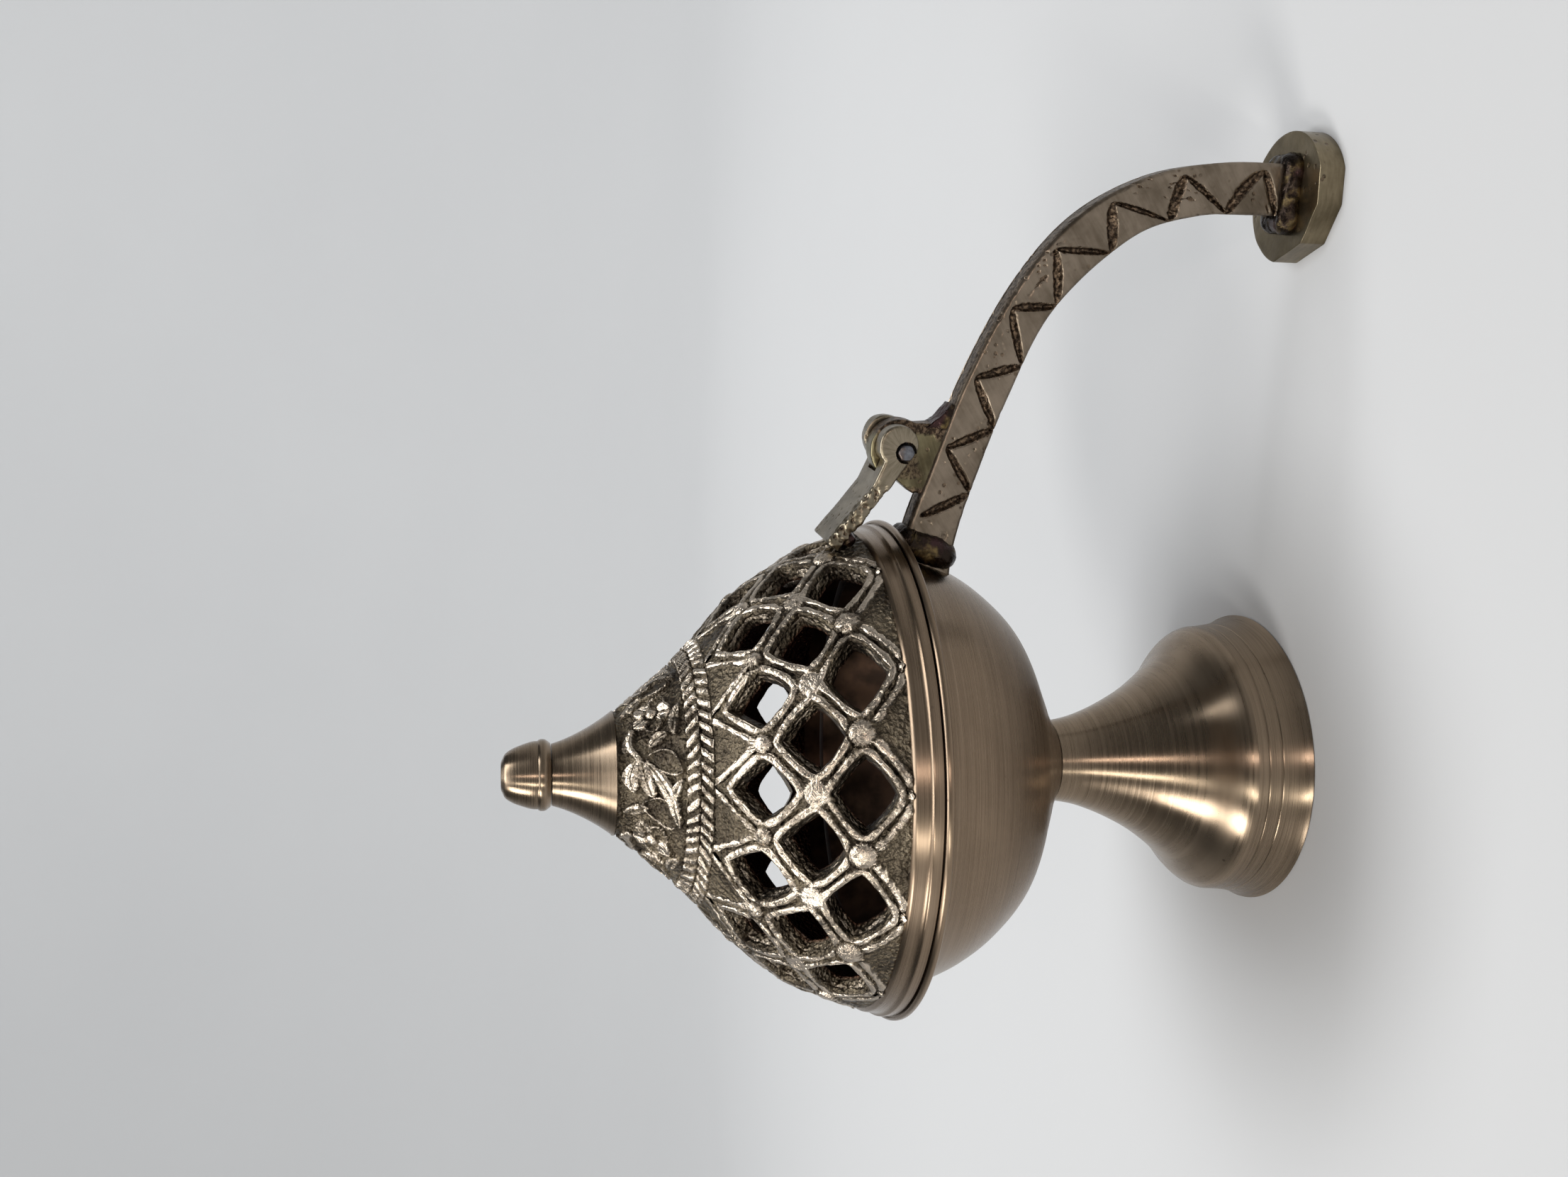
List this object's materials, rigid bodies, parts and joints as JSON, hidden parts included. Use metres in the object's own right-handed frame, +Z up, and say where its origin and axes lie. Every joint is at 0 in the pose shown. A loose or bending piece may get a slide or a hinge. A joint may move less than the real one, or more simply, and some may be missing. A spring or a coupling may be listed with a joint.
{
  "type": "hand censer",
  "caption": "Footed brass hand censer: charcoal bowl on a turned pedestal, pierced domed lid hinged at the side, and a curved handle ending in a round rest.",
  "frame": {"origin": "middle of the footprint's bounding box, on the table under the foot and the handle's rest", "axes": "+Z up; +X from the bowl's axis towards the handle; +Y across the handle, along the hinge pin"},
  "size_m": [0.1604, 0.09, 0.14],
  "materials": {
    "turned_brass": "antique brass, lathe turned and brushed, with small tarnish spots",
    "cast_brass": "cast relief, dark in its hollows and burnished on its high points",
    "handle_brass": "rough casting filed flat, pitted, with a dark chiselled zigzag",
    "hinge_brass": "cast and filed, pitted along one edge",
    "braze": "rough dark brazing with purple and gold heat tints",
    "steel": "dull worn steel"
  },
  "bodies": {
    "base": {"foot": "turned_brass", "bowl": "turned_brass", "bowl_screw": "steel", "bowl_washer": "steel", "foot_washer": "steel", "foot_nut": "steel", "handle_arm": "handle_brass", "handle_foot": "turned_brass", "hinge_lug": "hinge_brass", "hinge_pin": "steel", "handle_root_braze": "braze", "handle_foot_braze": "braze", "hinge_lug_braze": "braze"},
    "lid": {"lid": "cast_brass", "finial": "turned_brass", "hinge_strap": "hinge_brass", "strap_braze": "braze"}
  },
  "joints": [
    {"name": "lid_hinge", "type": "hinge", "parent": "base", "child": "lid", "pos_m": [0.02345, 0, 0.0722], "axis": [0, 1, 0], "range_deg": [0, 155]}
  ]
}
